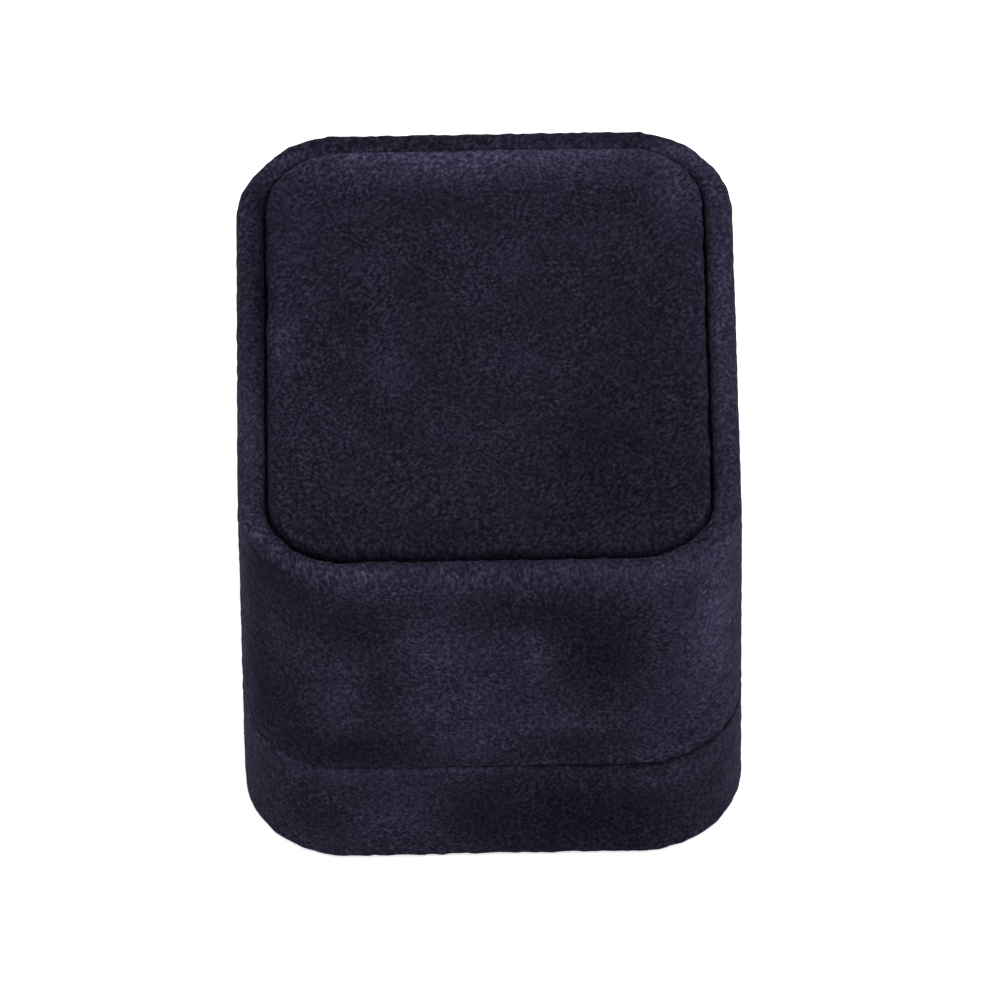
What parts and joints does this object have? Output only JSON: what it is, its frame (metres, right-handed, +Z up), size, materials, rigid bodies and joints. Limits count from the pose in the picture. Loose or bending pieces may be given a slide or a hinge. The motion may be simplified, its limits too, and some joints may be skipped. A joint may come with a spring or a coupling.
{
  "type": "ring box",
  "caption": "Hinged ring box with rounded corners, covered in dark velvet, with a padded panel let into the lid and a slotted cushion for a ring inside.",
  "frame": {"origin": "on the table, under the middle of the closed box's bounding box", "axes": "+Z up, -Y towards the front, +Y towards the hinge, +X to the right seen from the front"},
  "size_m": [0.05, 0.0616, 0.0425],
  "materials": {
    "outer_velvet": "short-pile velvet, very dark navy violet, brushed in cloudy patches",
    "cushion_velvet": "short-pile velvet, very dark navy violet",
    "lining_satin": "smooth satin, dark navy violet",
    "shell_plastic": "moulded black polystyrene",
    "card": "plain greyboard",
    "foam": "open-cell polyurethane foam, off-white",
    "hinge_steel": "nickel-plated stamped steel"
  },
  "bodies": {
    "base": {"base_shell": "shell_plastic", "base_velvet": "outer_velvet", "base_bottom_card": "outer_velvet", "ring_pad_card": "card", "ring_cushion_front": "cushion_velvet", "ring_cushion_rear": "cushion_velvet", "ring_foam_front": "foam", "ring_foam_rear": "foam", "hinge_cover_lower": "outer_velvet", "hinge_base_leaf": "hinge_steel", "hinge_pin": "hinge_steel", "hinge_spring": "hinge_steel", "hinge_base_rivet_left": "hinge_steel", "hinge_base_rivet_right": "hinge_steel"},
    "lid": {"lid_shell": "shell_plastic", "lid_velvet": "outer_velvet", "top_panel_card": "card", "top_panel_foam": "foam", "top_panel_velvet": "outer_velvet", "lid_wall_lining": "lining_satin", "lid_liner_card": "card", "lid_liner_foam": "foam", "lid_liner_satin": "lining_satin", "hinge_cover_upper": "outer_velvet", "hinge_lid_leaf": "hinge_steel", "hinge_lid_rivet_left": "hinge_steel", "hinge_lid_rivet_right": "hinge_steel"}
  },
  "joints": [
    {"name": "lid_hinge", "type": "hinge", "parent": "base", "child": "lid", "pos_m": [0, 0.02983, 0.0136], "axis": [-1, 0, 0], "range_deg": [0, 95]}
  ]
}
